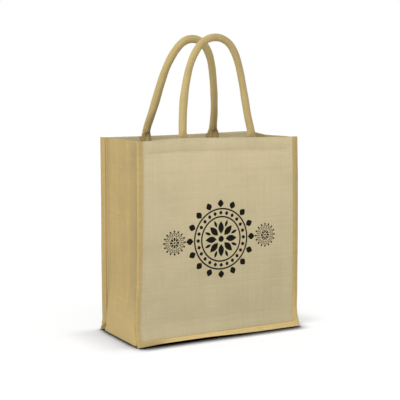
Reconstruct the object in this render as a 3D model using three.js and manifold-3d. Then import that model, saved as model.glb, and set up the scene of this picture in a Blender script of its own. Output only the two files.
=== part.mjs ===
// A jute tote bag with two rope handles, standing on its base.
// Millimetres, +Z up, the front faces -Y, and the origin is on the floor under the middle of the bag.
import * as THREE from "three";
import { mergeVertices } from "three/addons/utils/BufferGeometryUtils.js";
import Module from "manifold-3d";

// Overall sizes
const HEIGHT = 380; // floor to rim
const DEPTH = 160; // between the outer faces of the front and back panels
const CLOTH = 1.2; // panels and gusset
const TAPE = 1; // edge binding
const GAP = 0.35; // between sewn layers
const SEAM = 12; // width of the bound seams that stand out along the edges
const HEM = 26; // depth of the folded rim
const FLARE = 8; // how far the bottom seams splay out
const FLARE_HEIGHT = 22; // where the splay starts
const FLARE_TIP = 2; // and where it is complete
const BELLY = 4; // how far each big panel swells
const BELLY_SKEW = 0.8; // under 1 the swell is fullest below half height
const RIM_DIP = 3; // how far the middle of each rim leans in
const RIM_ZONE = 0.6; // share of the height from which it does so

// Layers of a bound seam, counted from the panel's outer face towards the inside of the bag
const EDGE_INSET = TAPE + GAP;
const FLANGE_FRONT = CLOTH + GAP;
const FLANGE_BACK = FLANGE_FRONT + CLOTH;
const TAPE_BACK = FLANGE_BACK + GAP;
const HEM_INSET = SEAM + CLOTH + GAP; // a panel's hem ends beside the gusset

// Distance of each bound edge from the middle of the bag at the rim and at the floor, and how much
// further its bottom corner splays out
const EDGES = {
  front: {
    left: { rim: 174, floor: 178.5, splay: 1 },
    right: { rim: 176, floor: 178, splay: 2 },
  },
  back: {
    left: { rim: 175, floor: 176, splay: 0 },
    right: { rim: 177, floor: 178, splay: 1.5 },
  },
};
const HALF_SPAN = 178; // half the width over which a panel swells

// Height of each rim along its width
const RIMS = {
  front: [
    { x: -175, z: 379.6 },
    { x: -130, z: 382.5 },
    { x: -85, z: 383.5 },
    { x: 0, z: 381.6 },
    { x: 90, z: 379.6 },
    { x: 178, z: 378 },
  ],
  back: [
    { x: -175, z: 379.6 },
    { x: -60, z: 379.4 },
    { x: 80, z: 380.4 },
    { x: 178, z: 382 },
  ],
};

// How far each bottom seam stands clear of the floor along its width
const ARCHES = {
  front: [
    { x: -178, lift: 0 },
    { x: -135, lift: 2.6 },
    { x: -80, lift: 3.1 },
    { x: -25, lift: 3 },
    { x: 30, lift: 1.4 },
    { x: 85, lift: 0.2 },
    { x: 178, lift: 0 },
  ],
  back: [
    { x: -178, lift: 0 },
    { x: -90, lift: 1.2 },
    { x: 40, lift: 2.4 },
    { x: 110, lift: 1.6 },
    { x: 178, lift: 0 },
  ],
};

// The gusset: a soft fold runs down the middle of each side and splits into a V over the base
const FOLD_TOP = 80; // height of the V's point
const FOLD_DEPTH = { left: { rim: 4, low: 3.5 }, right: { rim: 13, low: 5 } };
const FOLD_DEEPENS = 0.4; // share of the height from which a fold deepens towards the rim
const SIDE_SWELL = 2.5;
const FOOT_SWELL = 8; // the stiff base pushes the sides out to the tips of the seams
const FOOT_SWELL_HEIGHT = 90;
const SEAM_HUG = 2.5; // cloth beside a seam that stays flat
const SEAM_ROLL = 12; // and the width over which it rolls away
const SIDE_SAG = 1.5; // dip in the middle of each side's rim
const STRIP_END = 2; // the strip's plain layer ends this far below its folded rim
const CORNER = 16; // reach of the stretch in which a seam turns the bottom corner
const BASE_ROUND = 2; // rounding between a side and the base

// The handles. A sewn end's rows go up from inside the hem to where the tube is round: height above
// the rim, share of the pad's full width and thickness.
const ROPE = 15;
const END_ROWS = [
  { rise: -24, spread: 0.95, thick: 3.8 },
  { rise: -12, spread: 1.05, thick: 3.8 },
  { rise: -0.5, spread: 1, thick: 3.8 },
  { rise: 3.5, spread: 0.75, thick: 5.5 },
  { rise: 7, spread: 0.3, thick: 10 },
  { rise: 11, spread: 0, thick: 13.6 },
  { rise: 18, spread: 0, thick: ROPE },
];
// The widths of each handle's pads and its route up to the crown: height above the rim, half the
// width of the arch there and how far it leans in over the bag
const HANDLES = {
  front: {
    pads: { left: 20.5, right: 19.5 },
    centre: -2,
    rows: [
      { rise: 8, half: 75, lean: 0.3 },
      { rise: 18, half: 74, lean: 1.2 },
      { rise: 40, half: 71, lean: 4.6 },
      { rise: 60, half: 68.5, lean: 7 },
      { rise: 80, half: 65.6, lean: 8.5 },
      { rise: 100, half: 62, lean: 9 },
      { rise: 120, half: 57.6, lean: 9 },
      { rise: 135, half: 53.5, lean: 8.6 },
      { rise: 150, half: 48, lean: 7.5 },
      { rise: 160, half: 43, lean: 6.7 },
      { rise: 168, half: 38, lean: 6.1 },
      { rise: 176.5, half: 31, lean: 5.6 },
      { rise: 183.5, half: 21, lean: 5.2 },
      { rise: 187.5, half: 11, lean: 5 },
      { rise: 188.8, half: 0, lean: 5 },
    ],
  },
  back: {
    pads: { left: 20.5, right: 26.5 },
    centre: -3,
    rows: [
      { rise: 8, half: 76, lean: 1.4 },
      { rise: 18, half: 75, lean: 4.2 },
      { rise: 40, half: 71.5, lean: 13.5 },
      { rise: 60, half: 67.7, lean: 20.5 },
      { rise: 80, half: 63.9, lean: 26.3 },
      { rise: 100, half: 59.7, lean: 31.4 },
      { rise: 120, half: 54.8, lean: 36.7 },
      { rise: 135, half: 50.4, lean: 41 },
      { rise: 150, half: 44.5, lean: 45.5 },
      { rise: 160, half: 39.3, lean: 48.3 },
      { rise: 168, half: 34, lean: 50.2 },
      { rise: 176, half: 27.5, lean: 51.7 },
      { rise: 182.5, half: 19.5, lean: 52.7 },
      { rise: 186.7, half: 10, lean: 53.2 },
      { rise: 188, half: 0, lean: 53.4 },
    ],
  },
};
const ROPE_SIDES = 14;
const ARCH_STEPS = 34;
const PLEAT = 0.45; // height of the gathers on a handle's sewn end
const PRESSED = -2; // height above the rim up to which the end is flat
const ROUND = 10; // and from which it is round
const PAD_POWER = 0.6; // squareness of the flat section

const COLOURS = { cream: 0xc6b78f, tan: 0xbda571, rope: 0xc4ac79 };

const wasm = await Module();
wasm.setup();

const { clamp, lerp } = THREE.MathUtils;
const ease = (share) => THREE.MathUtils.smoothstep(share, 0, 1);

// Reads a table by one column, between its rows
function readTable(rows, key, at, wanted) {
  if (at <= rows[0][key]) return rows[0][wanted];
  for (let i = 1; i < rows.length; i++) {
    if (at <= rows[i][key]) {
      const share = (at - rows[i - 1][key]) / (rows[i][key] - rows[i - 1][key]);
      return lerp(rows[i - 1][wanted], rows[i][wanted], share);
    }
  }
  return rows[rows.length - 1][wanted];
}

const rimHeight = (panel, x) => readTable(RIMS[panel], "x", x, "z");
const endOf = (end) => (end === "left" ? -HALF_SPAN : HALF_SPAN);
const footShare = (z) => 1 - ease((z - FLARE_TIP) / (FLARE_HEIGHT - FLARE_TIP));

// Distance of a bound edge's tip from the middle of the bag at height z
function edgeReach(panel, end, z) {
  const edge = EDGES[panel][end];
  return lerp(edge.floor, edge.rim, z / HEIGHT) + edge.splay * footShare(z);
}

// The y of a panel's outer face, or of a layer that lies behind it
function layerY(panel, x, z, behind) {
  const across = 1 - (x / HALF_SPAN) ** 2;
  const up = clamp(z / HEIGHT, 0, 1);
  const dip = RIM_DIP * ease((up - RIM_ZONE) / (1 - RIM_ZONE));
  const swell = BELLY * Math.sin(Math.PI * up ** BELLY_SKEW) - dip;
  const out = DEPTH / 2 + FLARE * footShare(z) + across * swell - behind;
  return panel === "front" ? -out : out;
}

// How far a point of a bottom seam is lifted, from the tip of the seam up to its root
function seamLift(panel, x, z) {
  return readTable(ARCHES[panel], "x", x, "lift") * Math.max(0, 1 - z / SEAM);
}

// A closed sheet from two grids of points that lie face to face
function sheetGeometry(outside, inside) {
  const rows = outside.length;
  const columns = outside[0].length;
  const at = (face, i, j) => (face * rows + i) * columns + j;
  const triangles = [];
  const quad = (a, b, c, d) => triangles.push(a, b, c, a, c, d);
  for (let i = 0; i + 1 < rows; i++) {
    for (let j = 0; j + 1 < columns; j++) {
      quad(at(0, i, j), at(0, i + 1, j), at(0, i + 1, j + 1), at(0, i, j + 1));
      quad(at(1, i, j), at(1, i, j + 1), at(1, i + 1, j + 1), at(1, i + 1, j));
    }
    quad(at(0, i, 0), at(1, i, 0), at(1, i + 1, 0), at(0, i + 1, 0));
    const end = columns - 1;
    quad(at(0, i, end), at(0, i + 1, end), at(1, i + 1, end), at(1, i, end));
  }
  for (let j = 0; j + 1 < columns; j++) {
    quad(at(0, 0, j), at(0, 0, j + 1), at(1, 0, j + 1), at(1, 0, j));
    const end = rows - 1;
    quad(at(0, end, j), at(1, end, j), at(1, end, j + 1), at(0, end, j + 1));
  }
  return facingOut([...outside.flat(), ...inside.flat()].flat(), triangles);
}

// A mesh whose faces point outwards, whichever way round its grids were
function facingOut(positions, triangles) {
  const corner = (i) => new THREE.Vector3().fromArray(positions, 3 * triangles[i]);
  let volume = 0;
  for (let i = 0; i < triangles.length; i += 3) {
    volume += corner(i).dot(corner(i + 1).cross(corner(i + 2)));
  }
  if (volume < 0) triangles.reverse();
  const geometry = new THREE.BufferGeometry();
  geometry.setAttribute("position", new THREE.Float32BufferAttribute(positions, 3));
  geometry.setIndex(triangles);
  return geometry;
}

// Joins two closed meshes into one
function joined(first, second) {
  const solid = (geometry) => {
    const merged = mergeVertices(geometry, 1e-4);
    const vertProperties = merged.attributes.position.array;
    const triVerts = new Uint32Array(merged.index.array);
    return new wasm.Manifold(new wasm.Mesh({ numProp: 3, vertProperties, triVerts }));
  };
  const mesh = solid(first).add(solid(second)).getMesh();
  const geometry = new THREE.BufferGeometry();
  geometry.setAttribute("position", new THREE.BufferAttribute(mesh.vertProperties, 3));
  geometry.setIndex(new THREE.BufferAttribute(mesh.triVerts, 1));
  return geometry;
}

// Heights shared by every layer near the floor, then shares of the way up to the rim
const FOOT_LEVELS = [4, 8, 12, 16, 20, FLARE_HEIGHT];
const UPPER_SHARES = [0.12, 0.27, 0.43, 0.6, 0.78, 0.925];
const upperLevel = (share, rim) => lerp(FLARE_HEIGHT, rim, share);
const FOLD_STEPS = 4; // steps round the fold of a hem

// A big panel: one sheet from its bottom edge up over the rim and down again inside as a hem
function panelGeometry(panel) {
  const columns = 17;
  const foldRadius = FLANGE_BACK / 2;
  const outside = [];
  const inside = [];
  const addRow = (levelOf, outer, inner, narrowed) => {
    const faces = [outside, inside];
    [outer, inner].forEach((skin, face) => {
      const row = [];
      for (let j = 0; j < columns; j++) {
        const share = (2 * j) / (columns - 1) - 1;
        const rim = rimHeight(panel, share * HALF_SPAN);
        const z = levelOf(rim) + skin.lift;
        const inset = lerp(EDGE_INSET, HEM_INSET, narrowed);
        const left = -edgeReach(panel, "left", z) + inset;
        const right = edgeReach(panel, "right", z) - inset;
        const x = lerp(left, right, (share + 1) / 2);
        row.push([x, layerY(panel, x, z, skin.behind), z + seamLift(panel, x, z)]);
      }
      faces[face].push(row);
    });
  };
  const flat = (behind) => ({ behind, lift: 0 });
  for (const level of [EDGE_INSET, ...FOOT_LEVELS]) addRow(() => level, flat(0), flat(CLOTH), 0);
  for (const share of UPPER_SHARES) {
    addRow((rim) => upperLevel(share, rim), flat(0), flat(CLOTH), 0);
  }
  for (let turn = 0; turn <= FOLD_STEPS; turn++) {
    const angle = (Math.PI * turn) / FOLD_STEPS;
    const skin = (radius) => ({
      behind: foldRadius - radius * Math.cos(angle),
      lift: radius * Math.sin(angle),
    });
    addRow((rim) => rim - foldRadius, skin(foldRadius), skin(GAP / 2), turn / FOLD_STEPS);
  }
  for (const drop of [HEM / 2, HEM]) {
    addRow((rim) => rim - drop, flat(FLANGE_BACK), flat(FLANGE_FRONT), 1);
  }
  return sheetGeometry(outside, inside);
}

// Stations along a seam: down the left edge, round the corner, along the base and up the right edge
function seamStations() {
  const cornerSteps = 8;
  const side = (end) => [
    ...[1, ...UPPER_SHARES.toReversed()].map((share) => ({ run: "side", end, share })),
    ...[FLARE_HEIGHT, 20].map((level) => ({ run: "side", end, level })),
  ];
  const corner = (end) =>
    Array.from({ length: cornerSteps + 1 }, (_, i) => ({ run: "corner", end, turn: i / cornerSteps }));
  const base = [0.12, 0.3, 0.5, 0.7, 0.88].map((share) => ({ run: "base", share }));
  return [
    ...side("left"),
    ...corner("left"),
    ...base,
    ...corner("right").toReversed(),
    ...side("right").toReversed(),
  ];
}

// The point at share turn of a path down a side at inset sideIn and along the base at baseIn,
// as distance in from the tip and height
function cornerPoint(turn, sideIn, baseIn, radius) {
  const down = CORNER - baseIn - radius;
  const arc = (Math.PI / 2) * radius;
  const along = CORNER - sideIn - radius;
  const gone = turn * (down + arc + along);
  if (gone <= down) return { from: sideIn, z: CORNER - gone };
  if (gone >= down + arc) return { from: sideIn + radius + gone - down - arc, z: baseIn };
  const angle = (gone - down) / radius;
  return {
    from: sideIn + radius - radius * Math.cos(angle),
    z: baseIn + radius - radius * Math.sin(angle),
  };
}

// x and z of a point of a seam or of the gusset. reach(end, z) gives the edge's tip and rim(end) its top.
function stationPoint(station, insets, reach, rim) {
  const { sideIn, baseIn, radius } = insets;
  if (station.run === "base") {
    const left = CORNER - reach("left", 0);
    const right = reach("right", 0) - CORNER;
    return { x: lerp(left, right, station.share), z: baseIn };
  }
  const sign = station.end === "left" ? -1 : 1;
  if (station.run === "corner") {
    const { from, z } = cornerPoint(station.turn, sideIn, baseIn, radius);
    return { x: sign * (reach(station.end, z) - from), z };
  }
  const z = station.level ?? upperLevel(station.share, rim(station.end));
  return { x: sign * (reach(station.end, z) - sideIn), z };
}

const seamRadius = (inset) => Math.min(inset / 3, CORNER - inset);

// A point of a bound seam, inset from its tip and lying behind the panel's outer face. topDrop is how
// far its upper end lies below the rim.
function seamPoint(panel, station, inset, behind, topDrop) {
  const reach = (end, z) => edgeReach(panel, end, z);
  const rim = (end) => rimHeight(panel, endOf(end)) - topDrop;
  const insets = { sideIn: inset, baseIn: inset, radius: seamRadius(inset) };
  const { x, z } = stationPoint(station, insets, reach, rim);
  return [x, layerY(panel, x, z, behind), z + seamLift(panel, x, z)];
}

// The tape that is folded over a seam and sewn through: its outer and inner skin, across the fold
const TAPE_SECTION = [
  { outer: [SEAM, -GAP - TAPE], inner: [SEAM, -GAP] },
  { outer: [8, -GAP - TAPE], inner: [8, -GAP] },
  { outer: [4, -GAP - TAPE], inner: [4, -GAP] },
  { outer: [1.5, -GAP - TAPE], inner: [1.5, -GAP] },
  { outer: [0.4, -0.6], inner: [TAPE, -GAP] },
  { outer: [0, FLANGE_BACK / 2], inner: [TAPE, FLANGE_BACK / 2] },
  { outer: [0.4, TAPE_BACK + 0.3], inner: [TAPE, TAPE_BACK] },
  { outer: [1.5, TAPE_BACK + TAPE], inner: [1.5, TAPE_BACK] },
  { outer: [4, TAPE_BACK + TAPE], inner: [4, TAPE_BACK] },
  { outer: [8, TAPE_BACK + TAPE], inner: [8, TAPE_BACK] },
  { outer: [SEAM - 0.5, TAPE_BACK + TAPE], inner: [SEAM - 0.5, TAPE_BACK] },
];

function bindingGeometry(panel) {
  const stations = seamStations();
  const skin = (face) =>
    TAPE_SECTION.map((point) => stations.map((station) => seamPoint(panel, station, ...point[face], 0)));
  return sheetGeometry(skin("outer"), skin("inner"));
}

const HALF_WIDTH = DEPTH / 2 - FLANGE_BACK; // from a seam to the middle of the gusset

// How far the gusset's outer face lies in from the seam tips, at distance off from the nearer seam
function gussetInset(end, off, z) {
  const above = Math.max(0, z - CORNER);
  const swell = SIDE_SWELL + FOOT_SWELL * (1 - ease(above / FOOT_SWELL_HEIGHT));
  const deepened = ease((z / HEIGHT - FOLD_DEEPENS) / (1 - FOLD_DEEPENS));
  const fold = lerp(FOLD_DEPTH[end].low, FOLD_DEPTH[end].rim, deepened);
  const roof = Math.min(off / HALF_WIDTH, above / (FOLD_TOP - CORNER));
  return SEAM - ease((off - SEAM_HUG) / SEAM_ROLL) * (swell - fold * roof);
}
const baseInset = (off) => SEAM * (1 - ease((off - SEAM_HUG) / SEAM_ROLL));

// Distances of the gusset's columns from the nearer seam
const OFFSETS = [SEAM_HUG, 6, 9.5, SEAM_HUG + SEAM_ROLL, 30, 48, 64];
const COLUMNS = [
  ...OFFSETS.map((off) => ({ off, share: off / HALF_WIDTH / 2 })),
  { off: HALF_WIDTH, share: 0.5 },
  ...OFFSETS.toReversed().map((off) => ({ off, share: 1 - off / HALF_WIDTH / 2 })),
];

// A point of the gusset between its two seams. depth is how far it lies inside the outer face, and
// drop how far the run ends below the rim of its side.
function gussetPoint(station, column, depth, drop) {
  const { off, share } = column;
  const end = station.end ?? "left";
  const mixed = (of) => lerp(of("front"), of("back"), share);
  const reach = (side, z) => mixed((panel) => edgeReach(panel, side, z));
  const sag = SIDE_SAG * ease(off / HALF_WIDTH);
  const rim = (side) => mixed((panel) => rimHeight(panel, endOf(side))) - sag - drop;
  const level = station.level ?? (station.run === "side" ? upperLevel(station.share, rim(end)) : 0);
  const baseIn = baseInset(off);
  const insets = {
    sideIn: gussetInset(end, off, level) + depth,
    baseIn: baseIn + depth,
    radius: lerp(BASE_ROUND, seamRadius(SEAM), baseIn / SEAM) - depth,
  };
  const { x, z } = stationPoint(station, insets, reach, rim);
  return [x, mixed((panel) => layerY(panel, x, z, FLANGE_BACK)), z];
}

// The gusset: one strip down the left side, under the bag and up the right side. Its long edges turn
// out behind the panels, inside the bound seams.
function gussetGeometry() {
  const stations = seamStations();
  const skin = (root, behind, depth) => {
    const insets = [EDGE_INSET, 4, 8, root];
    const row = (pointOf) => stations.map(pointOf);
    const flange = (panel) =>
      insets.map((inset) => row((station) => seamPoint(panel, station, inset, behind, STRIP_END)));
    const wall = COLUMNS.map((column) =>
      row((station) => gussetPoint(station, column, depth, STRIP_END)),
    );
    return [...flange("front"), ...wall, ...flange("back").toReversed()];
  };
  const strip = sheetGeometry(skin(SEAM, FLANGE_BACK, 0), skin(SEAM + CLOTH, FLANGE_FRONT, CLOTH));
  return joined(joined(strip, gussetHem("left")), gussetHem("right"));
}

// The folded top of a gusset's side: up out of the strip, over, and down inside it
function gussetHem(end) {
  const tuck = 0.15; // the fold starts this far inside both faces of the strip
  const overlap = 5; // and this far below the rim
  const clear = 0.8; // clear of the panels' hems at both ends
  const foldRadius = FLANGE_BACK / 2;
  const edge = { off: SEAM_HUG + clear, share: (SEAM_HUG + clear) / HALF_WIDTH / 2 };
  const columns = [edge, ...COLUMNS.slice(1, -1), { off: edge.off, share: 1 - edge.share }];
  const top = { run: "side", end, share: 1 };
  const row = (depth, drop) => columns.map((column) => gussetPoint(top, column, depth, drop));
  const outer = [row(tuck, overlap)];
  const inner = [row(CLOTH - tuck, overlap)];
  for (let turn = 0; turn <= FOLD_STEPS; turn++) {
    const angle = (Math.PI * turn) / FOLD_STEPS;
    const bend = (radius) =>
      row(foldRadius - radius * Math.cos(angle), foldRadius - radius * Math.sin(angle));
    outer.push(bend(foldRadius));
    inner.push(bend(GAP / 2));
  }
  for (const drop of [HEM / 2, HEM]) {
    outer.push(row(FLANGE_BACK, drop));
    inner.push(row(FLANGE_FRONT, drop));
  }
  return sheetGeometry(outer, inner);
}

// A handle: a cord-filled cloth tube whose ends are pressed flat and sewn inside the hem
function handleGeometry(panel) {
  const inward = panel === "front" ? 1 : -1;
  const { centre, pads, rows } = HANDLES[panel];
  const crown = rows[rows.length - 1];
  const footOf = (sign) => centre + sign * rows[0].half;
  const seat = TAPE_BACK + END_ROWS[0].thick / 2;
  const pointOf = (rise, sign) => {
    const foot = footOf(sign);
    const rim = lerp(rimHeight(panel, foot), HEIGHT, ease(rise / crown.rise));
    const y = layerY(panel, foot, rim + Math.min(rise, 0), seat);
    const x = centre + sign * readTable(rows, "rise", rise, "half");
    return new THREE.Vector3(x, y + inward * readTable(rows, "rise", rise, "lean"), rim + rise);
  };
  const rises = [...END_ROWS.slice(0, -1), ...rows.slice(1)].map((row) => row.rise);
  const left = rises.map((rise) => pointOf(rise, -1));
  const right = rises.slice(0, -1).map((rise) => pointOf(rise, 1)).toReversed();
  const route = new THREE.CatmullRomCurve3([...left, ...right], false, "centripetal");
  const last = left.length + right.length - 1;
  const endSteps = END_ROWS.length - 1;
  const shares = [];
  for (let i = 0; i < endSteps; i++) shares.push(i / last);
  for (let i = 0; i <= ARCH_STEPS; i++) {
    shares.push(lerp(endSteps / last, 1 - endSteps / last, i / ARCH_STEPS));
  }
  for (let i = endSteps - 1; i >= 0; i--) shares.push(1 - i / last);

  const rings = shares.map((share) => {
    const middle = route.getPoint(share);
    const along = route.getTangent(share);
    const deep = new THREE.Vector3(0, inward, 0).addScaledVector(along, -inward * along.y).normalize();
    const wide = new THREE.Vector3().crossVectors(along, deep);
    const onLeft = share < 0.5;
    const rise = middle.z - rimHeight(panel, footOf(onLeft ? -1 : 1));
    return handleRing(middle, wide, deep, rise, onLeft ? pads.left : pads.right);
  });
  return tubeGeometry(rings);
}

// A ring of the tube: a circle, or a flat pad with gathers on its free face near the sewn end
function handleRing(middle, wide, deep, rise, pad) {
  const width = lerp(ROPE, pad, readTable(END_ROWS, "rise", rise, "spread"));
  const thickness = readTable(END_ROWS, "rise", rise, "thick");
  const flatness = 1 - ease((rise - PRESSED) / (ROUND - PRESSED));
  const squared = (value) => Math.sign(value) * Math.abs(value) ** lerp(1, PAD_POWER, flatness);
  return Array.from({ length: ROPE_SIDES }, (_, i) => {
    const angle = (2 * Math.PI * i) / ROPE_SIDES;
    const gather = Math.sin(angle) > 0 ? flatness * PLEAT * (i % 2 ? 1 : -1) : 0;
    const across = (width / 2) * squared(Math.cos(angle));
    const outward = (thickness / 2) * squared(Math.sin(angle)) + gather;
    return middle.clone().addScaledVector(wide, across).addScaledVector(deep, outward).toArray();
  });
}

// A closed tube through rings of equal count
function tubeGeometry(rings) {
  const sides = rings[0].length;
  const triangles = [];
  rings.slice(1).forEach((_, i) => {
    for (let j = 0; j < sides; j++) {
      const next = (j + 1) % sides;
      const [a, b] = [i * sides + j, i * sides + next];
      triangles.push(a, b, b + sides, a, b + sides, a + sides);
    }
  });
  const lastRing = (rings.length - 1) * sides;
  for (let j = 1; j + 1 < sides; j++) {
    triangles.push(0, j + 1, j, lastRing, lastRing + j, lastRing + j + 1);
  }
  return facingOut(rings.flat(2), triangles);
}

function addPiece(group, name, geometry, colour, roughness) {
  geometry.computeVertexNormals();
  const material = new THREE.MeshStandardMaterial({ color: colour, roughness, metalness: 0 });
  const mesh = new THREE.Mesh(geometry, material);
  mesh.name = name;
  group.add(mesh);
}

const bag = new THREE.Group();
addPiece(bag, "gusset_strip", gussetGeometry(), COLOURS.tan, 0.9);
for (const panel of ["front", "back"]) {
  addPiece(bag, `${panel}_panel`, panelGeometry(panel), COLOURS.cream, 0.85);
  addPiece(bag, `${panel}_binding`, bindingGeometry(panel), COLOURS.tan, 0.9);
  addPiece(bag, `${panel}_handle`, handleGeometry(panel), COLOURS.rope, 0.8);
}

export default bag;
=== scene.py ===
import math

import bpy
import numpy as np
from mathutils import Matrix


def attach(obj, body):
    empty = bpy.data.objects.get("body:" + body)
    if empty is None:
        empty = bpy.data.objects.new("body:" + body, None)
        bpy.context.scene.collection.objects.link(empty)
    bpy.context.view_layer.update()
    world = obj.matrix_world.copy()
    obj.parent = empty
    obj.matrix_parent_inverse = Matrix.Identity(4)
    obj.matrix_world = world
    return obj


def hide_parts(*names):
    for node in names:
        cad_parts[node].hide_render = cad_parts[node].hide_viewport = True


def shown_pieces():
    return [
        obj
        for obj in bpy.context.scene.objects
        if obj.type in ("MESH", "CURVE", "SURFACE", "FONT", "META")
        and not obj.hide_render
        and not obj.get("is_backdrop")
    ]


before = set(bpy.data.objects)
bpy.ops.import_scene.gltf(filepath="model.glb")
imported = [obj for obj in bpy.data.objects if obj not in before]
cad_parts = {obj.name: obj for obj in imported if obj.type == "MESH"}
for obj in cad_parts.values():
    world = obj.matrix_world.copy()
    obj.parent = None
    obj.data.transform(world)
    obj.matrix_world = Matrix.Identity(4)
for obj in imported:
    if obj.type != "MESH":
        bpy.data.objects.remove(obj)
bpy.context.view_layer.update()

# The bag's shape, in millimetres, from the same values as its solids
MM = 0.001
HEIGHT = 380.0
DEPTH = 160.0
CLOTH = 1.2
TAPE = 1.0
GAP = 0.35  # between layers that lie on each other
SEAM = 12.0  # width of the sewn edges
HEM = 26.0
HALF_SPAN = 178.0  # from the middle of a panel to its side tips
EDGE_INSET = TAPE + GAP  # from the tips to the cloth inside the tape
FLANGE_FRONT = CLOTH + GAP  # depths of the layers behind a panel's outer face
FLANGE_BACK = FLANGE_FRONT + CLOTH
TAPE_BACK = FLANGE_BACK + GAP
HEM_INSET = SEAM + CLOTH + GAP  # from the tips to the ends of a panel's hem
HALF_WIDTH = DEPTH / 2 - FLANGE_BACK  # of the gusset's wall
CORNER = 16.0  # from the tips to where a bottom corner starts
FLARE_HEIGHT = 22.0  # below it the seams' stations are level
FLARE_TIP = 2.0
FLARE = 8.0  # how far the base's edges stand out
ROPE = 15.0

# Forms of the cloth that the solids leave out
FLARE_SPANS = {"front": 40.0, "back": 11.0}  # height over which the base's flare fades
SWELL = 4.0  # how far a panel bows out in its middle
SWELL_LOSS = 3.0  # how much of that the rim takes back
SAG = 1.5  # how far the rim of a side hangs below its ends
CALM_EDGE = 160.0  # the hem's lean and groove end this far out, beside the side seams
CALM_WIDTH = 16.0  # and fade over this width
HEM_LINE = 25.4  # depth of the hem's stitching
HEM_LEAN = {"front": 3.1, "back": 0.6}  # how far the rim leans out above that line
HEM_RISE = 24.0  # height over which it does
SLACK = 0.3  # how far a panel's outer face lies in between its seams
GROOVE_DEPTH = 0.75  # how far the hem's stitching pulls that face in
GROOVE_ABOVE = 1.4  # widths of the groove above and below the stitching
GROOVE_BELOW = 5.5
PUCKER = 0.1  # how much deeper it is at the puckers
TAPE_NOSE = 2.9  # how far the tape's round edge reaches in from the tips
SIDE_RISE = 2.5  # how far a side stands out from the line of its seams
FOOT_SWELL = 8.0  # how much further it does at the base
FOOT_RISE = 90.0  # height over which that fades
DIMPLES = {"left": 0.3, "right": 0.55}  # depth of the sides' shallow dents
PLEATS = {"front": 0.75, "back": 1.25}  # depth of the gathers at the handles' ends
ROUTE_STEP = 1.5  # spacing of the rings along a handle
HANDLE_SIDES = 88  # points in each ring
CREASE_DEPTH = 0.16  # relief of the handles' cloth: creases at the bends, slow lumps and its seam
LUMP_DEPTH = 0.14
SEAM_RIDGE = 0.35
THREAD_PITCH = 3.6  # from stitch to stitch
THREAD_LENGTH = 2.7
THREAD_RADIUS = 0.32
THREAD_DEPTH = 1.2  # how deep the hem's thread lies in its groove
BOX_FOOT = -22  # the sewn boxes at the handles' ends, from the rim
BOX_TOP = -4

# Distance of each bound edge's tip from the middle of the bag, by height
EDGE_ROWS = {
    ("front", "left"): [
        *((0, 181), (22, 181), (50, 180.3), (120, 176.6)),
        *((200, 174.9), (300, 174.2), (380, 174)),
    ],
    ("front", "right"): [
        *((0, 180.4), (8, 179), (18, 177.2), (30, 178)),
        *((60, 179), (190, 179.4), (300, 178.6), (380, 176.6)),
    ],
    ("back", "left"): [(0, 176), (20, 175.8), (60, 176.2), (170, 176), (220, 175.2), (380, 175)],
    ("back", "right"): [(0, 179.5), (22, 178), (380, 177)],
}
FOLD_TURN = 1.2  # radians by which the back left seam is folded back
FOLD_BEND = 7.0  # width of the bend beside it
TAPE_TRIM = 3.0  # how much narrower the tape gets down the front left seam

# Height of each panel's rim, and how far its base lifts off the floor, by x
RIMS = {
    "front": [(-175, 379.6), (-130, 382.5), (-85, 383.5), (0, 381.6), (90, 379.6), (178, 378)],
    "back": [(-175, 379.6), (-60, 379.4), (80, 380.4), (178, 382)],
}
ARCHES = {
    "front": [(-178, 0), (-135, 2.6), (-80, 3.1), (-25, 3), (30, 1.4), (85, 0.2), (178, 0)],
    "back": [(-178, 0), (-90, 1.2), (40, 2.4), (110, 1.6), (178, 0)],
}
RIGHT_FOLDS = (13.0, 5.0)  # how far the right side is folded in, at its rim and above its base
PADS = {"front": (20.5, 19.5, -2.0), "back": (20.5, 26.5, -3.0)}  # widths of a handle's ends, middle

# A handle's ends by height above the rim: share of the flat width, and thickness
END_ROWS = [
    (-24, 0.95, 3.8),
    (-12, 1.05, 3.8),
    (-0.5, 1, 3.8),
    (3.5, 0.75, 5.5),
    (7, 0.3, 10),
    (11, 0, 13.6),
    (18, 0, ROPE),
]

# The handles' arches by height above the rim: half the width, and the lean to the inside
ARCH_ROWS = {
    "front": [
        (8, 75, 0.3),
        (18, 74, 1.2),
        (40, 71, 4.6),
        (60, 68.5, 7),
        (80, 65.6, 8.5),
        (100, 62, 9),
        (120, 57.6, 9),
        (135, 53.5, 8.6),
        (150, 48, 7.5),
        (160, 43, 6.7),
        (168, 38, 6.1),
        (176.5, 31, 5.6),
        (183.5, 21, 5.2),
        (187.5, 11, 5),
        (188.8, 0, 5),
    ],
    "back": [
        (8, 76, 1.4),
        (18, 75, 4.2),
        (40, 71.5, 13.5),
        (60, 67.7, 20.5),
        (80, 63.9, 26.3),
        (100, 59.7, 31.4),
        (120, 54.8, 36.7),
        (135, 50.4, 41),
        (150, 44.5, 45.5),
        (160, 39.3, 48.3),
        (168, 34, 50.2),
        (176, 27.5, 51.7),
        (182.5, 19.5, 52.7),
        (186.7, 10, 53.2),
        (188, 0, 53.4),
    ],
}
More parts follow.
